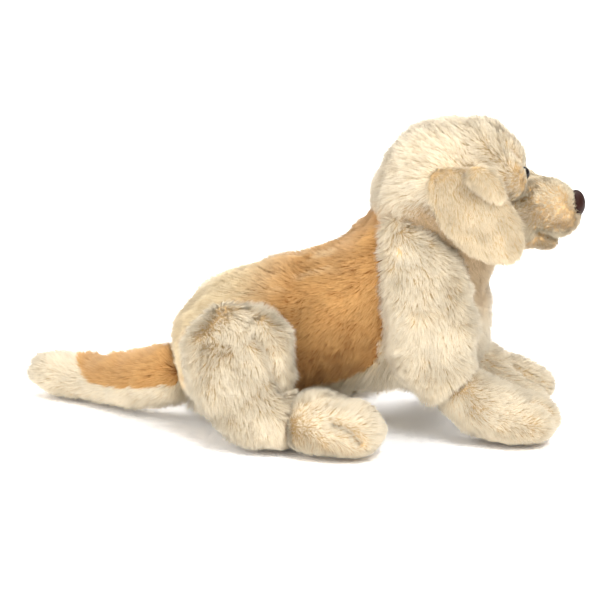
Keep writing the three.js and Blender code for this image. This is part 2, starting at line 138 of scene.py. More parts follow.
def loft(bm, anchor, stations, square=2.2, steps=4, segments=32, stand=None):
    """A closed tube of superellipse rings. Each station is x, y, z from the anchor, half height, half width.

    A ring stands across the path with its width along Y, or square to the vector stand."""
    rows = catmull(stations, steps)
    centres = rows[:, :3] * MM + np.array(anchor)
    if stand is None:
        tangents = unit(np.gradient(centres, axis=0))
    else:
        tangents = np.tile(np.array(stand, float), (len(rows), 1))
    loops = []
    for centre, tangent, (high, wide) in zip(centres, tangents, np.maximum(rows[:, 3:5], 0.6) * MM):
        ring = bmesh.ops.create_circle(bm, segments=segments, radius=1)["verts"]
        side = Vector((0, 1, 0)) - Vector(tangent) * tangent[1]
        side.normalize()
        top = Vector(tangent).cross(side)
        for v in ring:
            across, up = (math.copysign(abs(c) ** (2 / square), c) for c in (v.co.x, v.co.y))
            v.co = Vector(centre) + side * (across * wide) + top * (up * high)
        loops.append(ring)
    for a, b in zip(loops, loops[1:]):
        edges = [e for ring in (a, b) for v in ring for e in v.link_edges if e.other_vert(v) in ring]
        bmesh.ops.bridge_loops(bm, edges=list(dict.fromkeys(edges)))
    for ring in (loops[0], loops[-1]):
        bmesh.ops.contextual_create(bm, geom=ring)


def egg(bm, centre, half):
    """An ellipsoid with its middle at centre, in metres, and its half sizes in millimetres."""
    place = Matrix.Translation(centre) @ Matrix.Diagonal((*[h * MM for h in half], 1))
    bmesh.ops.create_uvsphere(bm, u_segments=32, v_segments=20, radius=1, matrix=place)


def object_of(name, bm):
    bmesh.ops.recalc_face_normals(bm, faces=bm.faces)
    mesh = bpy.data.meshes.new(name)
    bm.to_mesh(mesh)
    bm.free()
    obj = bpy.data.objects.new(name, mesh)
    bpy.context.scene.collection.objects.link(obj)
    return obj


def apply_modifiers(obj):
    bpy.context.view_layer.update()
    made = bpy.data.meshes.new_from_object(obj.evaluated_get(bpy.context.evaluated_depsgraph_get()))
    obj.modifiers.clear()
    obj.data = made


def points_of(mesh):
    co = np.empty(len(mesh.vertices) * 3)
    mesh.vertices.foreach_get("co", co)
    return co.reshape(-1, 3)


def set_points(mesh, co):
    mesh.vertices.foreach_set("co", np.ascontiguousarray(co, np.float32).ravel())
    mesh.update()


def normals_of(mesh):
    n = np.empty(len(mesh.vertices) * 3, np.float32)
    mesh.vertex_normals.foreach_get("vector", n)
    return n.reshape(-1, 3).astype(float)


def stuffed(name, bm, voxel=4.0, rounds=8, lumps=1.6, floor=3.0):
    """Joins the overlapping forms of a bmesh into one rounded, slightly lumpy stuffed skin."""
    obj = object_of(name, bm)
    remesh = obj.modifiers.new("one skin", "REMESH")
    remesh.mode = "VOXEL"
    remesh.voxel_size = voxel * MM
    relax = obj.modifiers.new("rounded", "SMOOTH")
    relax.factor = 0.5
    relax.iterations = rounds
    apply_modifiers(obj)
    co, normals = points_of(obj.data), normals_of(obj.data)
    swell = noise(co, 0.035)[:, :1] + 0.5 * noise(co, 0.017)[:, 1:2]
    co = co + normals * swell * lumps * settings().lumps * MM
    low, soft = floor * MM, 4 * MM  # the underside flattens softly where it lies on the floor
    co[:, 2] = np.where(co[:, 2] < low + soft, low + soft * np.exp((co[:, 2] - low - soft) / soft), co[:, 2])
    set_points(obj.data, co)
    obj.data.shade_smooth()
    return obj


def panel(source, name, keep):
    """The part of a skin whose faces' middles pass keep, as a sewn cloth panel of its own."""
    mesh = source.data.copy()
    mesh.name = name
    obj = bpy.data.objects.new(name, mesh)
    bpy.context.scene.collection.objects.link(obj)
    bm = bmesh.new()
    bm.from_mesh(mesh)
    middles = np.array([f.calc_center_median() for f in bm.faces])
    kept = keep(middles)
    bmesh.ops.delete(bm, geom=[f for f, k in zip(list(bm.faces), kept) if not k], context="FACES")
    bm.to_mesh(mesh)
    bm.free()
    return obj


# ---- The pile ------------------------------------------------------------------------------------------

LEAST_RISE = 0.25  # how far a blade's tip rises from the skin at the least, as a share of its length
ROOT_DEPTH = 0.8 * MM


class Surface:
    """Triangles of a skin with the smooth normals at their corners."""

    def __init__(self, obj):
        mesh = obj.data
        mesh.calc_loop_triangles()
        tris = np.empty(len(mesh.loop_triangles) * 3, np.int32)
        mesh.loop_triangles.foreach_get("vertices", tris)
        self.tris = tris.reshape(-1, 3)
        self.points = points_of(mesh)
        self.normals = normals_of(mesh)
        first, second, third = self.points[self.tris].transpose(1, 0, 2)
        self.areas = np.linalg.norm(np.cross(second - first, third - first), axis=1) / 2

    def scatter(self, per_mm2, rng):
        count = int(self.areas.sum() * 1e6 * per_mm2)
        picked = np.sort(rng.choice(len(self.tris), count, p=self.areas / self.areas.sum()))
        u, v = rng.random((2, count, 1))
        u, v = np.where(u + v > 1, 1 - u, u), np.where(u + v > 1, 1 - v, v)
        weights = np.concatenate([1 - u - v, u, v], axis=1)[:, :, None]
        corners = self.tris[picked]
        return (self.points[corners] * weights).sum(1), unit((self.normals[corners] * weights).sum(1))


def blade_ways(roots, normals, style, flow, rng):
    """Which way each blade points, and the unevenness that also ruffles its light."""
    along = flow(roots, normals)
    along = unit(along - normals * (along * normals).sum(1, keepdims=True))
    ruffle = style["ruffle"]
    tilt = noise(roots, 0.022) * 0.5 + noise(roots, 0.009) * 0.4 + rng.normal(0, 0.22, (len(roots), 3))
    lean = np.radians(style["lean"]) + 0.25 * ruffle * noise(roots, 0.014)[:, :1]
    way = unit(normals * np.cos(lean) + along * np.sin(lean) + tilt * ruffle * 0.6)
    rise = (way * normals).sum(1, keepdims=True)
    return unit(way + normals * np.maximum(LEAST_RISE - rise, 0)), tilt * ruffle


def gathered(roots, reach, style, rng):
    """Where the blades' tips end, drawn together into tufts. Reach is each blade's way times its length."""
    count = len(roots)
    tufts = max(8, int(count / (style["per_mm2"] * style["tuft"] ** 2)))
    centres = roots[rng.choice(count, tufts, replace=False)]
    tree = KDTree(len(centres))
    for i, centre in enumerate(centres):
        tree.insert(centre, i)
    tree.balance()
    nearest = np.fromiter((tree.find(root)[1] for root in roots), int, count)
    tips, goal = roots + reach, centres[nearest] + reach
    return tips + (goal - tips) * style["gather"] * rng.uniform(0.4, 1.2, (count, 1))


def blade_corners(roots, tips, way, normals, style, rng):
    """Each blade's two corners, sunk a little into the cloth, and its tip, turned to face outwards."""
    count = len(roots)
    side = unit(np.cross(way, normals + rng.normal(0, 0.35, (count, 3))))
    half = side * (style["width"] * MM / 2 * rng.uniform(0.7, 1.25, (count, 1)))
    sunk = roots - normals * ROOT_DEPTH
    corners = np.stack([sunk + half, sunk - half, tips], axis=1)
    facing = np.cross(corners[:, 1] - corners[:, 0], corners[:, 2] - corners[:, 0])
    turned = (facing * normals).sum(1) < 0
    corners[turned] = corners[turned][:, [1, 0, 2]]
    above_floor = 0.0003 + 0.0004 * rng.random((count, 1))
    corners[..., 2] = np.maximum(corners[..., 2], above_floor)
    return corners


def blade_mesh(name, corners):
    """A mesh with one triangle for each blade, and a map on which each blade has a cell of its own."""
    count = len(corners)
    mesh = bpy.data.meshes.new(name)
    mesh.vertices.add(count * 3)
    mesh.vertices.foreach_set("co", corners.astype(np.float32).ravel())
    mesh.loops.add(count * 3)
    mesh.loops.foreach_set("vertex_index", np.arange(count * 3, dtype=np.int32))
    mesh.polygons.add(count)
    mesh.polygons.foreach_set("loop_start", np.arange(0, count * 3, 3, dtype=np.int32))
    mesh.update(calc_edges=True)
    across = math.ceil(count**0.5)
    cells = np.stack([np.arange(count) % across, np.arange(count) // across], axis=1)
    places = (cells[:, None] + ((0.08, 0.1), (0.92, 0.1), (0.5, 0.95))) / across
    mesh.uv_layers.new(name="OFBake").data.foreach_set("uv", places.astype(np.float32).ravel())
    return mesh


def colour_blades(mesh, root_tone, tip_tone):
    tones = np.ones((len(mesh.polygons), 3, 4), np.float32)
    tones[:, :2, :3], tones[:, 2, :3] = root_tone[:, None], tip_tone
    attribute = mesh.color_attributes.new("pile_tone", "FLOAT_COLOR", "POINT")
    attribute.data.foreach_set("color", tones.ravel())


def soften_light(mesh, normals, way, unevenness):
    """Lights the blades nearly as the skin below them, so the pile reads as soft and not as splinters."""
    bend = unit(normals + 0.3 * way + 0.2 * unevenness)
    lit = np.repeat(bend[:, None], 3, axis=1)
    lit[:, :2] = unit(lit[:, :2] + normals[:, None] * 0.5)
    mesh.shade_smooth()
    mesh.normals_split_custom_set_from_vertices(lit.reshape(-1, 3).tolist())


def pile(name, skin, style, flow, colour, seed, length=None, keep=None):
    """Fur on a skin: single tapered blades, gathered into tufts and combed along flow.

    style: dict of per_mm2, length, width (mm), lean (degrees), tuft (mm), gather (0 to 1), ruffle.
    flow, length and keep take points and normals; colour takes points, normals and each blade's shade."""
    wanted = settings()
    rng = np.random.default_rng(seed + wanted.seed)
    roots, normals = Surface(skin).scatter(style["per_mm2"] * wanted.density, rng)
    if keep is not None:
        kept = keep(roots, normals)
        roots, normals = roots[kept], normals[kept]
    way, unevenness = blade_ways(roots, normals, style, flow, rng)
    long = wanted.fur_length * style["length"] * MM * (1 + 0.2 * noise(roots, 0.012)[:, 1])
    long = long * rng.uniform(0.75, 1.15, len(roots))
    if length is not None:
        long = long * length(roots, normals)
    tips = gathered(roots, way * long[:, None], style, rng)
    mesh = blade_mesh(name, blade_corners(roots, tips, way, normals, style, rng))
    colour_blades(mesh, *colour(roots, normals, rng.random(len(roots))))
    soften_light(mesh, normals, way, unevenness)
    obj = bpy.data.objects.new(name, mesh)
    bpy.context.scene.collection.objects.link(obj)
    return obj


# ---- Materials -----------------------------------------------------------------------------------------


def node(tree, kind, **values):
    made = tree.nodes.new(kind)
    for key, value in values.items():
        if key in made.inputs:
            made.inputs[key].default_value = value
        else:
            setattr(made, key, value)
    return made


def shader_of(material):
    material.use_nodes = True
    return material.node_tree, material.node_tree.nodes["Principled BSDF"]


def pile_material(name, sheen):
    """Fur fibres: their own tone from root to tip, lit by the pile's soft normal from either side."""
    material = bpy.data.materials.new(name)
    tree, shader = shader_of(material)
    tone = node(tree, "ShaderNodeVertexColor", layer_name="pile_tone")
    tree.links.new(tone.outputs["Color"], shader.inputs["Base Color"])
    shape = node(tree, "ShaderNodeNewGeometry")
    flip = node(tree, "ShaderNodeMath", operation="MULTIPLY_ADD")
    flip.inputs[1].default_value, flip.inputs[2].default_value = -2, 1
    tree.links.new(shape.outputs["Backfacing"], flip.inputs[0])
    turned = node(tree, "ShaderNodeVectorMath", operation="SCALE")
    tree.links.new(shape.outputs["Normal"], turned.inputs[0])
    tree.links.new(flip.outputs[0], turned.inputs["Scale"])
    tree.links.new(turned.outputs[0], shader.inputs["Normal"])
    shader.inputs["Roughness"].default_value = 0.8
    shader.inputs["Specular IOR Level"].default_value = 0.2
    shader.inputs["Sheen Weight"].default_value = sheen
    shader.inputs["Sheen Roughness"].default_value = 0.5
    shader.inputs["Sheen Tint"].default_value = (1, 0.93, 0.8, 1)
    return material


def cloth_group():
    """Backing cloth: two tones in soft patches, and the knit's loops as height."""
    group = bpy.data.node_groups.new("Knitted backing", "ShaderNodeTree")
    face = group.interface
    face.new_socket("Light", in_out="INPUT", socket_type="NodeSocketColor")
    face.new_socket("Dark", in_out="INPUT", socket_type="NodeSocketColor")
    face.new_socket("Colour", in_out="OUTPUT", socket_type="NodeSocketColor")
    face.new_socket("Height", in_out="OUTPUT", socket_type="NodeSocketFloat")
    into, out = node(group, "NodeGroupInput"), node(group, "NodeGroupOutput")
    place = node(group, "ShaderNodeTexCoord")
    patches = node(group, "ShaderNodeTexNoise", Scale=70.0, Detail=4.0)
    loops = node(group, "ShaderNodeTexNoise", Scale=900.0, Detail=2.0)
    mix = node(group, "ShaderNodeMix", data_type="RGBA")
    for texture in (patches, loops):
        group.links.new(place.outputs["Object"], texture.inputs["Vector"])
    group.links.new(patches.outputs["Fac"], mix.inputs["Factor"])
    group.links.new(into.outputs["Light"], mix.inputs[6])
    group.links.new(into.outputs["Dark"], mix.inputs[7])
    group.links.new(mix.outputs[2], out.inputs["Colour"])
    group.links.new(loops.outputs["Fac"], out.inputs["Height"])
    return group


def cloth_material(name, light, dark):
    material = bpy.data.materials.new(name)
    tree, shader = shader_of(material)
    knit = node(tree, "ShaderNodeGroup")
    knit.node_tree = bpy.data.node_groups.get("Knitted backing") or cloth_group()
    knit.inputs["Light"].default_value = (*linear(light), 1)
    knit.inputs["Dark"].default_value = (*linear(dark), 1)
    bump = node(tree, "ShaderNodeBump", Strength=0.4, Distance=0.0006)
    tree.links.new(knit.outputs["Colour"], shader.inputs["Base Color"])
    tree.links.new(knit.outputs["Height"], bump.inputs["Height"])
    tree.links.new(bump.outputs["Normal"], shader.inputs["Normal"])
    shader.inputs["Roughness"].default_value = 0.9
    shader.inputs["Specular IOR Level"].default_value = 0.15
    return material


def plastic_material(name, colour, roughness, grain, coat):
    """Moulded plastic: a fine grain in its gloss and surface over one colour with faint depth."""
    material = bpy.data.materials.new(name)
    tree, shader = shader_of(material)
    place = node(tree, "ShaderNodeTexCoord")
    fine = node(tree, "ShaderNodeTexNoise", Scale=1400.0, Detail=2.0)
    broad = node(tree, "ShaderNodeTexNoise", Scale=180.0, Detail=3.0)
    for texture in (fine, broad):
        tree.links.new(place.outputs["Object"], texture.inputs["Vector"])
    tones = node(tree, "ShaderNodeMix", data_type="RGBA")
    tones.inputs[6].default_value = (*linear(colour), 1)
    tones.inputs[7].default_value = (*linear([c * 1.35 for c in colour]), 1)
    tree.links.new(broad.outputs["Fac"], tones.inputs["Factor"])
    tree.links.new(tones.outputs[2], shader.inputs["Base Color"])
    gloss = node(tree, "ShaderNodeMapRange")
    gloss.inputs["To Min"].default_value = roughness * 0.7
    gloss.inputs["To Max"].default_value = roughness * 1.4
    tree.links.new(broad.outputs["Fac"], gloss.inputs["Value"])
    tree.links.new(gloss.outputs[0], shader.inputs["Roughness"])
    bump = node(tree, "ShaderNodeBump", Strength=grain, Distance=0.0004)
    tree.links.new(fine.outputs["Fac"], bump.inputs["Height"])
    tree.links.new(bump.outputs["Normal"], shader.inputs["Normal"])
    shader.inputs["Specular IOR Level"].default_value = 0.1
    shader.inputs["Coat Weight"].default_value = coat
    shader.inputs["Coat Roughness"].default_value = 0.08
    return material


# ---- Fur styles and tones ------------------------------------------------------------------------------

LONG = dict(per_mm2=1.8, length=10.5, width=0.62, lean=44, tuft=4.5, gather=0.4, ruffle=0.65)
BODY = dict(per_mm2=2.0, length=9, width=0.58, lean=46, tuft=3.6, gather=0.32, ruffle=0.55)
BELLY = dict(per_mm2=1.6, length=17, width=0.9, lean=58, tuft=5.5, gather=0.6, ruffle=1.0)
EAR_PILE = dict(per_mm2=2.5, length=6.8, width=0.55, lean=50, tuft=3.5, gather=0.35, ruffle=0.55)
PAW = dict(per_mm2=2.0, length=8, width=0.6, lean=42, tuft=3.8, gather=0.35, ruffle=0.55)
SHORT = dict(per_mm2=3.0, length=5.6, width=0.6, lean=36, tuft=3.2, gather=0.45, ruffle=1.15)
LINING = dict(per_mm2=1.6, length=4.5, width=0.6, lean=55, tuft=3, gather=0.3, ruffle=0.5)

CREAM = ((0.88, 0.79, 0.63), (0.955, 0.905, 0.81))
HONEY = ((0.71, 0.49, 0.26), (0.87, 0.68, 0.43))
FLANK = ((0.55, 0.36, 0.18), (0.76, 0.56, 0.33))
# The rump's own paler pile, also used as painted light on the upward-facing top of the back.
PALE_AND_TOP_LIGHT = ((0.82, 0.70, 0.51), (0.95, 0.87, 0.71))
# Greyer brown pile, painted as the shade that falls under the head and ears round the collar.
COLLAR_SHADE = ((0.68, 0.54, 0.39), (0.91, 0.785, 0.61))
LEAF = ((0.81, 0.71, 0.54), (0.915, 0.845, 0.725))
# The brows' and seams' own orange tan, also painted as shade in the seams' hollows and along the creases.
TAN = ((0.66, 0.42, 0.20), (0.87, 0.66, 0.40))
MUZZLE = ((0.78, 0.68, 0.52), (0.96, 0.905, 0.79))
# Darker short pile, painted as shade on the muzzle's lower, downward-facing sides.
LOW_CHEEK_SHADE = ((0.73, 0.59, 0.43), (0.90, 0.79, 0.64))
LIP = ((0.30, 0.18, 0.11), (0.52, 0.38, 0.27))


def toned(pair, warm=0.35):
    """A tone function: root and tip colours, with soft patches and each fibre's own shade."""
    dark, light = linear(pair[0]), linear(pair[1])

    def colour(points, normals, shade):
        patch = 1 + 0.07 * noise(points, 0.03)[:, :1] + 0.05 * noise(points, 0.008)[:, 1:2]
        own = (0.82 + 0.3 * shade)[:, None]
        base = dark * patch * own
        tip = (light * (1 - 0.12 * warm * (shade[:, None] > 0.8)) * patch) * (0.9 + 0.16 * shade)[:, None]
        return np.clip(base, 0, 1), np.clip(tip, 0, 1)

    return colour


def mixed(first, second, share):
    """Two tone functions mixed by share, a function of points and normals."""

    def colour(points, normals, shade):
        s = share(points, normals)[:, None]
        (a, b), (c, d) = first(points, normals, shade), second(points, normals, shade)
        return a * (1 - s) + c * s, b * (1 - s) + d * s

    return colour


def chosen(fur):
    """The root and tip colours that the settings give a fur."""
    return tuple(tuple(getattr(settings(), f"{fur}_{end}")) for end in ("root", "tip"))


def steady(*vector):
    """A comb direction that is the same everywhere."""
    way = np.array(vector, float)
    return lambda points, normals: np.tile(way, (len(points), 1))


# ---- Body ----------------------------------------------------------------------------------------------

# Each row: distance ahead of the hip joint, underside, top and half width, measured from the floor.
TRUNK = (
    (-52, 66, 84, 14),
    (-50, 58, 92, 26),
    (-44, 40, 104, 42),
    (-25, 14, 122, 55),
    (-7, 4, 133, 60),
    (14, 3, 141, 62),
    (35, 8, 148, 62),
    (60, 22, 153, 60),
    (79, 34, 160, 60),
    (94, 40, 167, 60),
    (111, 42, 181, 58),
    (124, 42, 192, 56),
    (142, 42, 196, 54),
    (172, 44, 186, 52),
    (197, 50, 165, 47),
    (209, 62, 148, 38),
    (216, 80, 136, 25),
    (219, 96, 122, 10),
)
# From the neck joint: x, y, z, half depth, half width.
THROAT = ((-14, 0, -84, 40, 40), (-12, 0, -68, 47, 46), (-10, 0, -45, 54, 50), (-4, 0, -20, 58, 54),
          (0, 0, 5, 56, 55), (3, 0, 25, 48, 50), (4, 0, 40, 30, 32))
SKULL = (((10, 0, 26), (61, 55, 55)), ((33, 0, 43), (43, 45, 38)), ((-18, 0, 15), (38, 49, 36)),
         ((54, -21, 42), (20, 18, 17)), ((54, 21, 42), (20, 18, 17)),
         ((54, -37, 37), (22, 13.5, 21)), ((54, 37, 37), (22, 13.5, 21)),
         ((30, -26, 2), (36, 25, 29)), ((30, 26, 2), (36, 25, 29)))
SNOUT = ((58, 0, 2, 24, 30), (66, 0, 3.5, 29, 33), (78, 0, 3.5, 28, 31.5), (92, 0, 3.5, 26, 30),
         (106, 0, 2, 23.5, 27), (115, 0, 2, 19.5, 23), (120, 0, 2.5, 14, 17), (123, 0, 3, 7, 9),
         (124, 0, 3, 2, 3))
JAW = ((60, 0, -17, 12, 22), (74, 0, -20, 11.5, 22), (88, 0, -22.5, 9.5, 19), (98, 0, -24.5, 7.5, 15.5),
       (104, 0, -25.5, 5.5, 11), (107.5, 0, -25.5, 2, 4))
MOUTH = ((88, -24.5, -15), (96, -20, -19), (104, -12, -22), (109, 0, -22.5), (104, 12, -22), (96, 20, -19),
         (88, 24.5, -15))
# From the right ear's joint: x, y, z, half thickness, half width, on level rings.
EAR_LEAF = ((-10, 13, 12, 3, 20), (-9, 10, 6.5, 6, 27), (-7, 6, -5, 7, 32), (-3, 3, -14, 7.5, 33.5),
            (2, 1, -25, 7.5, 34.5), (8, 0, -36, 7.5, 35), (15, 0, -48, 7, 31.5), (20, 0.5, -58, 6, 26),
            (24, 1, -66, 4.5, 18), (26, 1, -71.5, 1.5, 6))
EAR_FOLD = ((-4, 2, 8, 4, 4), (2, -2, 9, 8, 6), (10, -6, 6, 9.5, 7), (18, -9, -2, 8, 6.5),
            (24, -10, -8, 5, 4.5), (27.5, -10, -11, 1.5, 2))
# From the right shoulder joint, down the leg to its wrist seam.
FORELEG = ((-33, 0, 70, 8, 5), (-28, -5, 60, 15, 9), (-19, -10, 46, 24, 15), (-10, -14, 31, 31, 20),
           (-3, -17, 9, 35, 24), (0, -19, -20, 36, 26), (4, -21, -45, 34, 26), (12, -23, -60, 28, 25),
           (20, -25.5, -69.5, 23.5, 23), (24, -26, -74, 14, 15))
FOREPAW = ((22, -26, -72, 12, 14), (26, -26, -76, 21.5, 22), (40, -27, -88, 24, 25.5), (60, -27, -98, 23, 28),
           (83, -27, -104, 20.5, 28.5), (99, -27, -106, 17.5, 26), (109, -27, -108, 11, 17),
           (112, -27, -109, 3, 5))
# From the right hip joint, down the thigh to its hock seam.
THIGH = ((-4, -7, 31, 10, 8), (-4, -10, 26, 26, 15), (-2, -16, 11, 42, 22), (1, -23, -11, 46.5, 26),
         (8, -27, -33, 42, 28), (20, -30, -53, 34, 28), (36, -33.5, -62, 27, 27), (47, -37, -64.5, 22, 22),
         (50, -38, -65, 13, 14))
FOOT = ((49, -37, -64, 13, 14), (55, -39, -63.5, 23, 24), (70, -43, -63, 26.5, 28), (90, -48, -65, 24.5, 31),
        (108, -51, -66.5, 22.5, 30), (120, -52, -69, 15.5, 22), (126, -52, -70, 5, 8))
# Creases sewn into the stuffing, on the same joints: x, y, z.
THIGH_CREASE = ((17, -45, 20), (24, -46, 9), (30, -47, -4), (36, -47, -18), (41, -46, -31))
FOOT_CREASES = (((83, -75, -56), (95, -79, -59), (107, -79, -72)),
                ((90, -40, -38), (104, -40, -44), (118, -42, -58)))
PAW_CREASES = (((74, -12, -88), (90, -8, -95), (108, -8, -104)),
               ((90, -38, -84), (104, -40, -92), (112, -41, -104)))
# From the tail joint to the tip.
BRUSH = ((14, -2, 2, 14, 14), (4, 0, 0, 23, 22), (-10, 8, -6, 24, 23), (-30, 24, -14, 20, 21),
         (-52, 44, -21.5, 18.5, 19), (-80, 64, -23, 18.5, 18.5), (-106, 76, -23.5, 19, 19),
         (-119, 82, -25, 15, 15), (-127, 84, -26, 8, 8), (-130, 85, -26, 2, 2))


def mirrored(stations):
    return tuple((x, -y, *rest) for x, y, *rest in stations)


def left_foreleg(stations):
    """The left foreleg reaches a little further ahead and inward than the right, and lies flatter."""
    down = [min(max(-z / 75, 0), 1) for _, _, z, *_ in stations]
    return tuple((x + 5 * d, -y - 9 * d, z - 4 * d, *rest) for d, (x, y, z, *rest) in zip(down, stations))


def left_thigh(stations):
    """The left thigh is flexed further forward than the right, so its top is lower."""
    return tuple((x + 0.12 * (z + 60), -y, z if z < 0 else z * 0.55, *rest) for x, y, z, *rest in stations)


LEFT_FORMS = {"foreleg": left_foreleg, "forepaw": left_foreleg, "thigh": left_thigh, "hind_foot": mirrored}
# Each limb's path and joint, its node and body in the frame, the part that it is sewn to, its pile's style,
# and its creases with a groove's depth and width in millimetres.
LIMBS = {
    "foreleg": dict(path=FORELEG, joint=SHOULDER, node="front_leg", body="front_leg", partner="forepaw",
                    style=LONG, creases=()),
    "forepaw": dict(path=FOREPAW, joint=SHOULDER, node="front_paw", body="front_leg", partner="foreleg",
                    style=PAW, creases=PAW_CREASES, groove=(7, 4.5)),
    "thigh": dict(path=THIGH, joint=HIP, node="hind_leg", body="hind_leg", partner="hind_foot",
                  style=LONG, creases=(THIGH_CREASE,), groove=(6.5, 6)),
    "hind_foot": dict(path=FOOT, joint=HIP, node="hind_foot", body="hind_leg", partner="thigh",
                      style=PAW, creases=FOOT_CREASES, groove=(7, 4.5)),
}


def trunk_skin():
    bm = bmesh.new()
    rows = [(x, 0, (low + top) / 2, (top - low) / 2, wide) for x, low, top, wide in TRUNK]
    loft(bm, (HIP.x, 0, 0), rows, square=2.35, stand=(1, 0, 0))
    loft(bm, (NECK.x, 0, NECK.z), THROAT)
    return stuffed("trunk_form", bm, voxel=4.5, rounds=10)


def seam_height(x):
    """How high the seam between the back and the belly runs, for a place along the dog."""
    ahead = (x - HIP.x) / MM
    return np.interp(ahead, (-60, 20, 75, 100, 135, 160), (34, 40, 50, 57, 74, 84)) * MM


def collar_x(z):
    """How far forward the honey back reaches, for a height."""
    return NECK.x + np.interp(z / MM, (60, 80, 100, 160, 185, 210), (-62, -54, -50, -48, -44, -64)) * MM


def on_back(p):
    return (p[:, 0] < collar_x(p[:, 2])) & (p[:, 2] > seam_height(p[:, 0]))


def near_seam(p):
    """Distance to the seam round the collar, along X."""
    return np.abs(p[:, 0] - collar_x(p[:, 2]))


# ---- Fitting pieces together ---------------------------------------------------------------------------


def path_flow(anchor, stations, lift=(0, 0, 0)):
    """A comb direction that runs along a limb's own path."""
    rows = catmull(stations, 3)
    centres = rows[:, :3] * MM + np.array(anchor)
    tangents = unit(np.gradient(centres, axis=0)) + np.array(lift, float)

    def flow(points, normals):
        nearest = np.linalg.norm(points[:, None] - centres[None], axis=2).argmin(1)
        return tangents[nearest]

    return flow


def skin_tree(skin):
    faces = [tuple(face.vertices) for face in skin.data.polygons]
    return BVHTree.FromPolygons([tuple(p) for p in points_of(skin.data)], faces)


def away_from(*skins):
    """A function of points: how far each is from the nearest of the skins."""
    trees = [skin_tree(skin) for skin in skins]
    return lambda points: np.array([min(tree.find_nearest(p)[3] for tree in trees) for p in points])


def crease_on(skin, anchor, lines):
    """A function of points: how far each is from lines laid on the skin, given in mm from the anchor."""
    tree = skin_tree(skin)
    path = np.concatenate([catmull(line, 8)[:, :3] for line in lines]) * MM + np.array(anchor)
    path = np.array([tree.find_nearest(p)[0] for p in path])
    return lambda points: np.linalg.norm(points[:, None] - path[None], axis=2).min(1)


def groove(skin, far, depth, width):
    """Presses a groove into the skin along a crease."""
    co, normals = points_of(skin.data), normals_of(skin.data)
    set_points(skin.data, co - normals * (depth * MM * np.exp(-((far(co) / (width * MM)) ** 2)))[:, None])


def clear_of(*skins, depth):
    """Keeps the points that aren't buried deeper than depth, in millimetres, in any of the skins."""
    trees = []
    for skin in skins:
        co = points_of(skin.data)
        trees.append((skin_tree(skin), co.min(0) + depth * MM, co.max(0) - depth * MM))

    def keep(points, normals):
        kept = np.ones(len(points), bool)
        for tree, low, high in trees:
            inside = np.flatnonzero(kept & (points > low).all(1) & (points < high).all(1))
            for i in inside:
                place, out, _, far = tree.find_nearest(points[i])
                if far > depth * MM and (Vector(points[i]) - place).dot(out) < 0:
                    kept[i] = False
        return kept

    return keep


def built(name):
    """A form or piece that an earlier step has made."""
    if name not in bpy.data.objects:
        raise RuntimeError(f"{name} isn't built yet")
    return bpy.data.objects[name]


def thicken(skin, cloth):
    """Gives a panel its cloth's thickness, in millimetres, on the inside."""
    inside = skin.modifiers.new("cloth", "SOLIDIFY")
    inside.thickness, inside.offset = cloth * MM, -1


def pile_name(panel_name):
    return panel_name.replace("_panel", "") + "_pile"


def finish_piece(obj, material):
    obj.data.materials.clear()
    obj.data.materials.append(material)
    return obj


def material(name):
    return bpy.data.materials[name]


# ---- Trunk ---------------------------------------------------------------------------------------------


def trunk_flow(points, normals):
    """Backwards along the spine, and more and more downwards round the sides and in front of the collar."""
    front = smooth(points[:, 0] - collar_x(points[:, 2]), -0.01, 0.02)
    side = 1 - np.clip(normals[:, 2], 0, 1)
    return np.stack([-1 + 0.9 * front, 0 * front, -0.25 - 0.5 * side - 0.6 * front], axis=1)


def belly_flow(points, normals):
    """The belly's long pile hangs straight down from the sides, and spreads outwards underneath."""
    spread = 0.5 * np.sign(points[:, 1]) * smooth(-normals[:, 2], 0.2, 1)
    still = np.zeros(len(points))
    return np.stack([still - 0.35, spread, still - 1], axis=1)


def on_belly(p):
    """The belly's panel lies below the side seams and ends a little ahead of the collar."""
    return ~on_back(p) & (p[:, 2] < seam_height(p[:, 0])) & (p[:, 0] < collar_x(p[:, 2]) + 60 * MM)


def trunk_tones(thighs):
    """The tones of the back and of the chest, for a function that says how far the thighs are."""

    def rump_and_lit_ridge_share(points, normals):
        """Paler over the rump, which is the pile's own tone, and painted light in streaks along the top of
        the back where the pile faces upwards.
        """
        rump = smooth(HIP.x + 0.012 - points[:, 0] + 0.6 * (points[:, 2] - 0.12), -0.03, 0.03)
        # Painted light: paler streaks only where the pile faces upwards.
        lit_ridge = smooth(normals[:, 2], 0.6, 1.0) * smooth(noise(points * (0.6, 1.6, 1), 0.014)[:, 0], 0.1, 0.8)
        return np.clip(rump + 0.4 * lit_ridge, 0, 1)

    def flank_share(points, normals):
        """Darker low on the flank, unevenly."""
        low = 1 - smooth(points[:, 2], 0.05, 0.14)
        ahead = smooth(points[:, 0], HIP.x, HIP.x + 0.05)
        return np.clip(0.8 * low * ahead + 0.5 * low * noise(points, 0.008)[:, 2], 0, 1)

    def seam_tan_and_shade_share(points, normals):
        """Tan where the pile parts at the collar's seam, and painted shade in tan round the thighs, where
        they meet the back.
        """
        return 0.75 * (1 - smooth(np.minimum(near_seam(points), thighs(points) * 0.8), 0.0015, 0.006))

    def front_seam_share(points, normals):
        return 0.4 * (1 - smooth(near_seam(points), 0.001, 0.004))

    # The honey back, paler over the rump, with painted light along its top.
    back = mixed(mixed(toned(chosen("honey")), toned(PALE_AND_TOP_LIGHT), rump_and_lit_ridge_share), toned(FLANK), flank_share)
    # The chest's cream, greyer with painted shade in the collar's band under the head and ears.
    chest = mixed(toned(chosen("cream")), toned(COLLAR_SHADE), collar_shade_share)
    # Tan seams, with painted shade in the hollow round the thighs.
    return mixed(back, toned(TAN), seam_tan_and_shade_share), mixed(chest, toned(TAN), front_seam_share)


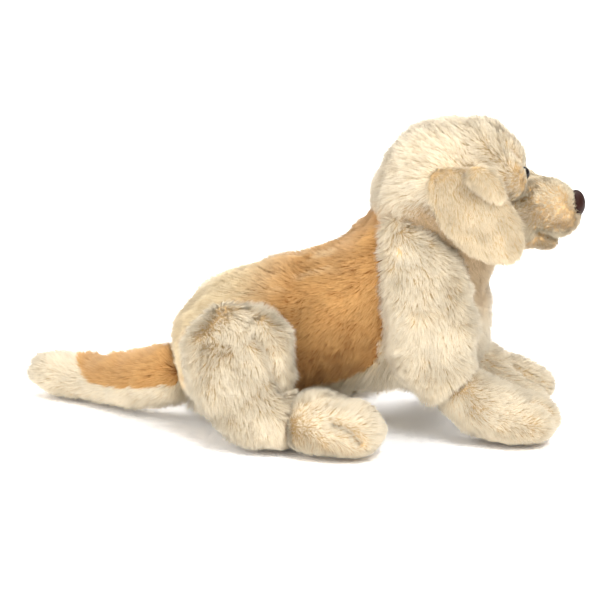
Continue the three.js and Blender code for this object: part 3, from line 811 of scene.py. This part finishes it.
def collar_shade_share(points, normals):
    """The shorter band that the head and the ears overhang, greyer with painted shade."""
    up_the_neck = (points - np.array(NECK)) @ np.array(NECK_AXIS) / MM
    return smooth(up_the_neck, -62, -40) * (0.5 + 0.5 * np.abs(normals[:, 1])) * 0.9


def chest_length(points, normals):
    """Long and shaggy down the chest, shorter under the ears and at the collar."""
    seam = 0.5 + 0.5 * smooth(near_seam(points), 0.001, 0.008)
    shaggy = 1 + 0.45 * smooth(normals[:, 0], 0.2, 0.8)
    return seam * (1 - 0.35 * collar_shade_share(points, normals)) * shaggy


def belly_length(points, normals):
    return 0.55 + 0.85 * smooth(points[:, 2], 0.014, 0.034)


def build_trunk():
    form = trunk_skin()
    limbs = [built(f"{part}_{side}_skin") for part in ("thigh", "foreleg") for side in SIDES]
    thighs = away_from(*limbs[:2])
    hips = clear_of(*limbs, built("head_form"), depth=11)
    back_tone, chest_tone = trunk_tones(thighs)

    def back_length(points, normals):
        """Short beside the seams."""
        return 0.5 + 0.5 * smooth(np.minimum(near_seam(points), thighs(points)), 0.001, 0.008)

    back = (BODY, back_tone, back_length, trunk_flow, "honey cloth", "honey_fur")
    belly = (BELLY, toned(chosen("cream")), belly_length, belly_flow, "cream cloth", "cream_fur")
    chest = (LONG, chest_tone, chest_length, trunk_flow, "cream cloth", "cream_fur")
    panels = (
        ("back_panel_right", lambda p: on_back(p) & (p[:, 1] < 0), back, ("back_fur_right",)),
        ("back_panel_left", lambda p: on_back(p) & (p[:, 1] >= 0), back, ("back_fur_left",)),
        ("belly_panel", on_belly, belly, ("belly_fur", "torso_filling")),
        ("chest_and_neck_panel", lambda p: ~on_back(p) & ~on_belly(p), chest,
         ("chest_fur", "neck_fur", "neck_filling")),
    )
    for seed, (name, keep, (style, tone, length, flow, cloth, slot), nodes) in enumerate(panels):
        skin = panel(form, name, keep)
        thicken(skin, 1.2)
        fur = pile(pile_name(name), skin, style, flow, tone, 100 + seed, length=length, keep=hips)
        apply_modifiers(skin)
        finish_piece(skin, material(cloth))
        finish_piece(fur, material("long pile"))
        for piece in (skin, fur):
            if name == "chest_and_neck_panel":
                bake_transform(piece)
            else:
                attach(piece, "torso")
        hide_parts(*nodes)
    bpy.data.objects.remove(form)


# ---- Head ----------------------------------------------------------------------------------------------


def head_form():
    bm = bmesh.new()
    for centre, half in SKULL:
        egg(bm, NECK + Vector(centre) * MM, half)
    loft(bm, NECK, SNOUT)
    loft(bm, NECK, JAW)
    return stuffed("head_form", bm, voxel=3.0, rounds=9, lumps=1.2)


SNOUT_START = NECK.x + 70 * MM
NOSE_SET_BACK = 11.5 * MM  # from the nose's front to its middle
EYE_CLEARANCE = 0.0062  # no fur stands nearer to an eye's middle
NOSE_CLEARANCE = 0.0095  # nor to the nose's middle, and a quarter more across
BROW = (-0.004, 0, 0.014)  # from an eye's middle to the warmer patch above it


def snout_edge(p):
    """How far a point is ahead of the curved seam where the short pile begins."""
    rise = (p[:, 2] - NECK.z) / MM
    return p[:, 0] - (SNOUT_START + np.interp(rise, (-30, 0, 30, 45), (-4, -2, 3, 16)) * MM)


def eye_centre(side):
    low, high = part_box(f"eye_{side}")
    radius = settings().eye_radius
    y = low.y + radius if side == "right" else high.y - radius
    return Vector((high.x - radius, y, high.z - radius))


def near_eyes(p, offset=(0, 0, 0)):
    """How far a point is from the nearer eye, or from a place that lies offset from it."""
    return np.min([np.linalg.norm(p - np.array(eye_centre(s)) - offset, axis=1) for s in SIDES], axis=0)


def nose_middle():
    low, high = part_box("nose")
    return np.array([high.x - NOSE_SET_BACK, 0, (low.z + high.z) / 2])


def head_flow(points, normals):
    drop = smooth(NECK.z + 0.055 - points[:, 2], 0, 0.07)
    return np.stack([-1 + 0.35 * drop, 0.25 * np.sign(points[:, 1]) * (1 - drop), 0.1 - 1.0 * drop], axis=1)


def snout_flow(points, normals):
    return np.tile(np.array([-1.0, 0, -0.15]), (len(points), 1))


def is_snout(p):
    return snout_edge(p) > 0


def face_length(p, normals):
    """Shorter round the eyes, down the forehead and towards the snout's seam."""
    eye = 0.42 + 0.58 * smooth(near_eyes(p), 0.008, 0.022)
    seam = 0.55 + 0.45 * smooth(-snout_edge(p), 0.004, 0.035)
    return eye * seam


# Painted shade: the short pile darkens in patches where it faces downwards on the cheeks and under the
# muzzle.
def low_cheek_shade_share(p, normals):
    return 0.7 * smooth(-normals[:, 2], -0.6, 0.5) * smooth(noise(p, 0.02)[:, 0], -0.6, 0.6)


def brow_share(p, normals):
    return 0.4 * (1 - smooth(near_eyes(p, BROW), 0.002, 0.012))


def to_snout_share(p, normals):
    return 1 - smooth(-snout_edge(p), 0.002, 0.025)


def clear_of_plastic(p, normals):
    """No fur grows through the eyes or the nose."""
    to_nose = np.linalg.norm((p - nose_middle()) / (1, 1.25, 1), axis=1)
    return (near_eyes(p) > EYE_CLEARANCE) & (to_nose > NOSE_CLEARANCE)


def build_head():
    form = built("head_form")
    mouth = crease_on(form, NECK, (MOUTH,))
    groove(form, mouth, 4.5, 3.5)

    def lip_share(p, normals):
        return 0.8 * (1 - smooth(mouth(p), 0.0008, 0.0028))

    def snout_length(p, normals):
        """Shortest round the nose, longer towards the cheeks, parted along the mouth."""
        cheek = 0.75 + 0.9 * (1 - smooth(snout_edge(p), 0, 0.022))
        return cheek * (0.35 + 0.65 * smooth(mouth(p), 0.0005, 0.005))

    # The muzzle's short pile, with painted shade low on its cheeks.
    short = mixed(toned(MUZZLE, 1.0), toned(LOW_CHEEK_SHADE), low_cheek_shade_share)
    brows = mixed(toned(chosen("cream")), toned(TAN), brow_share)
    face = (LONG, head_flow, mixed(brows, short, to_snout_share), face_length, "cream_fur", "cream cloth",
            "long pile")
    snout = (SHORT, snout_flow, mixed(short, toned(LIP), lip_share), snout_length, "short_fur", "short cloth",
             "short pile")
    gusset, jaw_top = 18 * MM, NECK.z - 15 * MM
    parts = (
        ("head_gusset", lambda p: ~is_snout(p) & (np.abs(p[:, 1]) < gusset), face,
         ("head_gusset_fur", "head_filling")),
        ("head_panel_right", lambda p: ~is_snout(p) & (p[:, 1] <= -gusset), face, ("head_fur_right",)),
        ("head_panel_left", lambda p: ~is_snout(p) & (p[:, 1] >= gusset), face, ("head_fur_left",)),
        ("muzzle_panel", lambda p: is_snout(p) & (p[:, 2] > jaw_top), snout,
         ("muzzle_fur", "muzzle_filling")),
        ("jaw_panel", lambda p: is_snout(p) & (p[:, 2] <= jaw_top), snout, ("jaw_fur",)),
    )
    for seed, (name, keep, (style, flow, tone, length, slot, cloth, fibre), nodes) in enumerate(parts):
        skin = panel(form, name, keep)
        thicken(skin, 1.0)
        fur = pile(pile_name(name), skin, style, flow, tone, 200 + seed, length=length, keep=clear_of_plastic)
        apply_modifiers(skin)
        finish_piece(skin, material(cloth))
        finish_piece(fur, material(fibre))
        for piece in (skin, fur):
            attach(piece, "head")
        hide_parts(*nodes)


# ---- Eyes and nose -------------------------------------------------------------------------------------

NOSE_HALF = (8.6, 14.5, 12.3)  # half depth, half width and half height


def build_eye(side):
    bm = bmesh.new()
    bmesh.ops.create_uvsphere(bm, u_segments=48, v_segments=32, radius=settings().eye_radius,
                              matrix=Matrix.Translation(eye_centre(side)))
    eye = object_of(f"eye_ball_{side}", bm)
    eye.data.shade_smooth()
    finish_piece(eye, material("brown glossy plastic"))
    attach(eye, "head")
    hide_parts(f"eye_{side}")


def build_nose():
    """A moulded nose, narrower towards the lip, with two nostrils and the cleft between them."""
    middle = Vector(nose_middle())
    bm = bmesh.new()
    bmesh.ops.create_uvsphere(bm, u_segments=64, v_segments=48, radius=1)
    for v in bm.verts:
        x, y, z = v.co
        front = max(x, 0)
        narrow = 1 - 0.28 * max(0.0, -z) ** 1.5
        nostrils = sum(math.exp(-((y - s * 0.42) ** 2 + (z + 0.12) ** 2) / 0.018) for s in (-1, 1)) * front
        cleft = math.exp(-(y / 0.07) ** 2) * max(-z + 0.1, 0) * front
        shape = Vector((x - 0.28 * nostrils - 0.10 * cleft, y * narrow, z + 0.06 * y * y))
        v.co = middle + shape * Vector(NOSE_HALF) * MM
    nose = object_of("nose_tip", bm)
    nose.data.shade_smooth()
    finish_piece(nose, material("brown moulded plastic"))
    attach(nose, "head")
    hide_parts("nose")


def build_face():
    for side in SIDES:
        build_eye(side)
    build_nose()


# ---- Ears ----------------------------------------------------------------------------------------------


def ear_form(side):
    sign = -SIDES[side]
    at = Vector((EAR.x, EAR.y * sign, EAR.z))
    leaf = [(x, sign * y, z, wide, thick) for x, y, z, thick, wide in EAR_LEAF]
    bm = bmesh.new()
    loft(bm, at, leaf, square=2.4, stand=(0, 0, -1))
    fold = [(x, sign * y, z, high, wide) for x, y, z, high, wide in EAR_FOLD]
    loft(bm, at, fold)
    return stuffed(f"ear_{side}_skin", bm, voxel=2.6, rounds=4, lumps=0.8)


def build_ear(side):
    sign = SIDES[side]
    skin = built(f"ear_{side}_skin")
    flow = steady(0.35, 0, -1)
    fur = pile(f"ear_{side}_pile", skin, EAR_PILE, flow, toned(LEAF), 300 + sign,
               keep=lambda p, n: n[:, 1] * sign > -0.15, length=lambda p, n: 0.95 + 0 * p[:, 0])
    under = pile(f"ear_{side}_lining_pile", skin, LINING, flow, toned(MUZZLE), 310 + sign,
                 keep=lambda p, n: n[:, 1] * sign <= -0.15)
    finish_piece(skin, material("cream cloth"))
    finish_piece(fur, material("long pile"))
    finish_piece(under, material("short pile"))
    for piece in (skin, fur, under):
        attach(piece, f"ear_{side}")
    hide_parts(f"ear_fur_{side}", f"ear_lining_{side}")


# ---- Legs ----------------------------------------------------------------------------------------------


def joint_on(joint, side):
    """A right limb's joint, or its mirror place on the left."""
    return Vector((joint.x, joint.y * -SIDES[side], joint.z))


def limb_stations(part, side):
    stations = LIMBS[part]["path"]
    return stations if side == "right" else LEFT_FORMS[part](stations)


def limb_form(part, side):
    bm = bmesh.new()
    loft(bm, joint_on(LIMBS[part]["joint"], side), limb_stations(part, side))
    return stuffed(f"{part}_{side}_skin", bm, voxel=3.6, rounds=5)


def limb_flow(part, side):
    """A thigh's pile hangs down and forwards; the others' runs along the limb, leaning towards its top."""
    sign = -SIDES[side]
    if part == "thigh":
        return steady(0.3, -0.5 * sign, -1)
    lean = (-0.2, 0.5 * sign, 0) if part == "foreleg" else (0, 0.15 * sign, 0)
    return path_flow(joint_on(LIMBS[part]["joint"], side), limb_stations(part, side), lean)


def creases_of(part, side):
    """Where a limb's creases run, as a distance function, or None."""
    lines = LIMBS[part]["creases"]
    if not lines:
        return None
    if side == "left":
        lines = tuple(LEFT_FORMS[part](line) for line in lines)
    return crease_on(built(f"{part}_{side}_skin"), joint_on(LIMBS[part]["joint"], side), lines)


def build_limb(part, side, seed):
    limb = LIMBS[part]
    skin = built(f"{part}_{side}_skin")
    flow = limb_flow(part, side)
    seam, crease = away_from(built(f"{limb['partner']}_{side}_skin")), creases_of(part, side)
    if crease:
        groove(skin, crease, *limb["groove"])

    # Tan at the seam to the next part and along the creases: partly the seam's own tan, partly painted shade
    # in the creases and in the seam's hollow.
    def seam_tan_and_shade_share(p, normals):
        far = np.minimum(seam(p), crease(p)) if crease else seam(p)
        return 0.85 * (1 - smooth(far, 0.0012, 0.0045))

    def length(p, normals):
        """Short on the floor, in the creases and at the seam to the next part."""
        near_floor = 0.45 + 0.55 * smooth(p[:, 2], 0.004, 0.02)
        parted = 0.2 + 0.8 * smooth(crease(p), 0.0015, 0.009) if crease else 1
        return near_floor * parted * (0.45 + 0.55 * smooth(seam(p), 0, 0.008))

    # Cream pile, tan with painted shade at its seam and in its creases.
    tone = mixed(toned(chosen("cream")), toned(TAN), seam_tan_and_shade_share)
    fur = pile(f"{part}_{side}_pile", skin, limb["style"], flow, tone, seed, length=length)
    finish_piece(skin, material("cream cloth"))
    finish_piece(fur, material("long pile"))
    body = f"{limb['body']}_{side}"
    for piece in (skin, fur):
        if part == "foreleg":
            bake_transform(piece)
        else:
            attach(piece, body)
    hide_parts(f"{limb['node']}_{side}_fur", f"{limb['node']}_{side}_filling")


def build_legs():
    for side, sign in SIDES.items():
        for i, part in enumerate(LIMBS):
            build_limb(part, side, 400 + 10 * i + sign)


# ---- Tail ----------------------------------------------------------------------------------------------


def on_tail_top(p):
    """The honey panel lies along the tail's top and stops short of the tip."""
    back = (TAIL.x - p[:, 0]) / MM
    edge = np.interp(back, (-20, 10, 40, 62, 74, 84, 92, 96), (46, 39, 31, 27, 28, 37, 54, 90)) * MM
    return p[:, 2] > edge


def tail_length(p, normals):
    return 0.45 + 0.5 * smooth(p[:, 2], 0.004, 0.016)


def build_tail():
    bm = bmesh.new()
    loft(bm, TAIL, BRUSH)
    form = stuffed("tail_form", bm, voxel=3.6, rounds=5)
    flow = path_flow(TAIL, BRUSH)
    panels = (
        ("tail_top_panel", on_tail_top, "honey", ("tail_top_fur", "tail_filling")),
        ("tail_under_panel", lambda p: ~on_tail_top(p), "cream", ("tail_under_fur", "tail_root_filling")),
    )
    for i, (name, keep, fur_kind, nodes) in enumerate(panels):
        skin = panel(form, name, keep)
        thicken(skin, 1.0)
        fur = pile(pile_name(name), skin, LONG, flow, toned(chosen(fur_kind)), 500 + i, length=tail_length)
        apply_modifiers(skin)
        finish_piece(skin, material(f"{fur_kind} cloth"))
        finish_piece(fur, material("long pile"))
        for piece in (skin, fur):
            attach(piece, "tail")
        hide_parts(*nodes)
    bpy.data.objects.remove(form)


# ---- Stage ---------------------------------------------------------------------------------------------

CAMERA_TARGET = Vector((-0.0044, 0, 0.1138))
# Name, place, width in metres and power in watts.
SOFT_BOXES = (
    ("key", (0.7, -1.6, 1.9), 1.2, 50),
    ("fill", (-1.7, -1.4, 1.0), 1.6, 25),
    ("top", (0.1, 0.5, 2.2), 1.2, 30),
)


def build_camera():
    camera = bpy.data.cameras.new("camera")
    camera.lens, camera.sensor_width = settings().lens, 36
    camera.clip_start, camera.clip_end = 0.05, 50
    eye = bpy.data.objects.new("camera", camera)
    bpy.context.scene.collection.objects.link(eye)
    tilt = settings().tilt
    eye.location = CAMERA_TARGET + Vector((0, -math.cos(tilt), math.sin(tilt))) * settings().distance
    eye.rotation_euler = (math.radians(90) - tilt, 0, 0)
    bpy.context.scene.camera = eye


def build_lights():
    world = bpy.data.worlds.new("studio")
    bpy.context.scene.world = world
    world.use_nodes = True
    world.node_tree.nodes["Background"].inputs["Color"].default_value = (1, 1, 1, 1)
    world.node_tree.nodes["Background"].inputs["Strength"].default_value = settings().daylight
    for name, place, size, power in SOFT_BOXES:
        light = bpy.data.lights.new(name, "AREA")
        light.size, light.energy = size, power
        lamp = bpy.data.objects.new(name, light)
        lamp.location = place
        lamp.rotation_euler = (Vector((0, 0, 0.12)) - Vector(place)).to_track_quat("-Z", "Y").to_euler()
        bpy.context.scene.collection.objects.link(lamp)
    sky = bpy.data.lights.new("even", "SUN")
    sky.energy, sky.angle = 1.2, math.radians(70)
    lamp = bpy.data.objects.new("even", sky)
    lamp.rotation_euler = (math.radians(-28), math.radians(12), 0)
    bpy.context.scene.collection.objects.link(lamp)


def build_stage():
    bm = bmesh.new()
    bmesh.ops.create_grid(bm, x_segments=1, y_segments=1, size=40)
    floor = object_of("studio_floor", bm)
    floor.data.materials.append(material("pale floor"))
    build_camera()
    build_lights()
    bpy.context.scene.view_settings.view_transform = "Standard"


def build_materials():
    pile_material("long pile", 0.25)
    pile_material("short pile", 0.15)
    cloth_material("cream cloth", (0.86, 0.74, 0.56), (0.76, 0.62, 0.43))
    cloth_material("honey cloth", (0.68, 0.46, 0.26), (0.56, 0.36, 0.18))
    cloth_material("short cloth", (0.86, 0.73, 0.54), (0.78, 0.63, 0.44))
    plastic_material("brown glossy plastic", tuple(settings().eye_colour), 0.1, 0.03, 0.25)
    plastic_material("brown moulded plastic", tuple(settings().nose_colour), 0.5, 0.35, 0)
    plastic_material("washer plastic", (0.85, 0.85, 0.84), 0.5, 0.1, 0)
    plastic_material("pale floor", (0.93, 0.93, 0.93), 0.7, 0, 0)


def build_forms():
    """The stuffed forms that several steps measure against each other."""
    head_form()
    for side in SIDES:
        ear_form(side)
        for part in LIMBS:
            limb_form(part, side)


def build_ears():
    for side in SIDES:
        build_ear(side)


def build_washers():
    """The hidden locking washers keep their solids and get moulded white plastic."""
    for name in ("eye_right_washer", "eye_left_washer", "nose_washer"):
        for slot in frame["nodes"][name].material_slots:
            slot.material = material("washer plastic")


# ---- Settings, operators and panel ---------------------------------------------------------------------


def colour_choice(name, description, default):
    return bpy.props.FloatVectorProperty(
        name=name, description=description, default=default, size=3, min=0, max=1, subtype="COLOR_GAMMA")


class PlushDogSettings(bpy.types.PropertyGroup):
    """Choices that every step reads."""

    fur_length: bpy.props.FloatProperty(
        name="Fur length", description="How long each pile is, as a share of its style's length",
        default=1.0, min=0.4, max=1.2, subtype="FACTOR")
    density: bpy.props.FloatProperty(
        name="Fur density", description="How many fibres the cloth carries, as a share of the style's number",
        default=1.0, min=0.1, max=1.5, subtype="FACTOR")
    lumps: bpy.props.FloatProperty(
        name="Stuffing lumps", description="How uneven the stuffing is, as a share of each form's own lumps",
        default=1.0, min=0.0, max=2.0, subtype="FACTOR")
    cream_root: colour_choice("Cream at the root", "Colour of the cream fur beside its cloth", CREAM[0])
    cream_tip: colour_choice("Cream at the tip", "Colour of the cream fur's tips", CREAM[1])
    honey_root: colour_choice("Honey at the root", "Colour of the honey fur beside its cloth", HONEY[0])
    honey_tip: colour_choice("Honey at the tip", "Colour of the honey fur's tips", HONEY[1])
    eye_colour: colour_choice("Eyes", "Colour of the glossy eyes", (0.06, 0.035, 0.03))
    nose_colour: colour_choice("Nose", "Colour of the moulded nose", (0.14, 0.07, 0.05))
    eye_radius: bpy.props.FloatProperty(
        name="Eye radius", description="Half the width of each eye", default=0.0065, min=0.004, max=0.008,
        precision=4, unit="LENGTH")
    seed: bpy.props.IntProperty(
        name="Seed", description="Changes where the fibres stand", default=0, min=0)
    lens: bpy.props.FloatProperty(
        name="Lens", description="Focal length of the camera in millimetres", default=200.0, min=50.0,
        unit="CAMERA")
    distance: bpy.props.FloatProperty(
        name="Camera distance", description="How far the camera stands from the dog", default=3.0, min=0.5,
        unit="LENGTH")
    tilt: bpy.props.FloatProperty(
        name="Camera tilt", description="How far above the dog's level the camera stands",
        default=math.radians(15), subtype="ANGLE")
    daylight: bpy.props.FloatProperty(
        name="Daylight", description="Strength of the white light from all round", default=0.55, min=0.0)


def settings():
    return bpy.context.scene.plush_dog


class BuildStep:
    """One step of the build: it makes its pieces, and fails if one of them isn't there afterwards."""

    bl_options = {"REGISTER"}
    makes = ()

    def execute(self, context):
        self.build()
        lacking = [name for name in self.makes if name not in bpy.data.objects]
        if lacking:
            raise RuntimeError(f"{self.bl_label} didn't make {', '.join(lacking)}")
        return {"FINISHED"}


class PLUSHDOG_OT_materials(BuildStep, bpy.types.Operator):
    """Makes the fur, cloth, plastic and floor materials"""

    bl_idname, bl_label = "plush_dog.materials", "Materials"

    def build(self):
        build_materials()


class PLUSHDOG_OT_stage(BuildStep, bpy.types.Operator):
    """Sets up the pale floor, the soft lights and the camera"""

    bl_idname, bl_label = "plush_dog.stage", "Stage"
    makes = ("studio_floor", "camera")

    def build(self):
        build_stage()


class PLUSHDOG_OT_forms(BuildStep, bpy.types.Operator):
    """Shapes the stuffed head, ears and limbs that the later steps sew their panels and piles on"""

    bl_idname, bl_label = "plush_dog.forms", "Stuffed forms"
    makes = ("head_form", "foreleg_right_skin", "thigh_right_skin", "ear_right_skin")

    def build(self):
        build_forms()


class PLUSHDOG_OT_trunk(BuildStep, bpy.types.Operator):
    """Builds the back, belly, chest and neck panels with their piles"""

    bl_idname, bl_label = "plush_dog.trunk", "Trunk"
    makes = ("back_panel_right", "back_panel_left", "belly_panel", "chest_and_neck_panel",
             "chest_and_neck_pile")

    def build(self):
        build_trunk()


class PLUSHDOG_OT_head(BuildStep, bpy.types.Operator):
    """Builds the head's and muzzle's panels with their piles and the mouth's crease"""

    bl_idname, bl_label = "plush_dog.head", "Head"
    makes = ("head_gusset", "head_panel_right", "head_panel_left", "muzzle_panel", "jaw_panel")

    def build(self):
        build_head()


class PLUSHDOG_OT_face(BuildStep, bpy.types.Operator):
    """Builds the two glossy eyes and the moulded nose"""

    bl_idname, bl_label = "plush_dog.face", "Eyes and nose"
    makes = ("eye_ball_right", "eye_ball_left", "nose_tip")

    def build(self):
        build_face()


class PLUSHDOG_OT_ears(BuildStep, bpy.types.Operator):
    """Builds both hanging ears with their outer pile and short lining"""

    bl_idname, bl_label = "plush_dog.ears", "Ears"
    makes = ("ear_right_pile", "ear_left_pile", "ear_right_lining_pile", "ear_left_lining_pile")

    def build(self):
        build_ears()


class PLUSHDOG_OT_legs(BuildStep, bpy.types.Operator):
    """Builds the forelegs, forepaws, thighs and hind feet"""

    bl_idname, bl_label = "plush_dog.legs", "Legs"
    makes = ("foreleg_right_pile", "forepaw_left_pile", "thigh_right_pile", "hind_foot_left_pile")

    def build(self):
        build_legs()


class PLUSHDOG_OT_tail(BuildStep, bpy.types.Operator):
    """Builds the tail's honey top and cream underside"""

    bl_idname, bl_label = "plush_dog.tail", "Tail"
    makes = ("tail_top_panel", "tail_under_panel")

    def build(self):
        build_tail()


class PLUSHDOG_OT_washers(BuildStep, bpy.types.Operator):
    """Gives the hidden locking washers their plastic and takes away the measuring form"""

    bl_idname, bl_label = "plush_dog.washers", "Washers"

    def build(self):
        build_washers()
        bpy.data.objects.remove(built("head_form"))


STEPS = (PLUSHDOG_OT_materials, PLUSHDOG_OT_stage, PLUSHDOG_OT_forms, PLUSHDOG_OT_trunk, PLUSHDOG_OT_head,
         PLUSHDOG_OT_face, PLUSHDOG_OT_ears, PLUSHDOG_OT_legs, PLUSHDOG_OT_tail, PLUSHDOG_OT_washers)


class PLUSHDOG_PT_steps(bpy.types.Panel):
    """The steps of the build in their order, and the choices that they read"""

    bl_label = "Plush dog"
    bl_space_type, bl_region_type, bl_category = "VIEW_3D", "UI", "Plush dog"

    def draw(self, context):
        for name in PlushDogSettings.__annotations__:
            self.layout.prop(context.scene.plush_dog, name)
        for step in STEPS:
            self.layout.operator(step.bl_idname)


def register():
    for kind in (PlushDogSettings, *STEPS, PLUSHDOG_PT_steps):
        bpy.utils.register_class(kind)
    bpy.types.Scene.plush_dog = bpy.props.PointerProperty(type=PlushDogSettings)


def unregister():
    del bpy.types.Scene.plush_dog
    for kind in (PLUSHDOG_PT_steps, *reversed(STEPS), PlushDogSettings):
        bpy.utils.unregister_class(kind)


def main():
    register()
    bpy.ops.plush_dog.materials()
    bpy.ops.plush_dog.stage()
    bpy.ops.plush_dog.forms()
    bpy.ops.plush_dog.trunk()
    bpy.ops.plush_dog.head()
    bpy.ops.plush_dog.face()
    bpy.ops.plush_dog.ears()
    bpy.ops.plush_dog.legs()
    bpy.ops.plush_dog.tail()
    bpy.ops.plush_dog.washers()


if __name__ == "__main__":
    main()
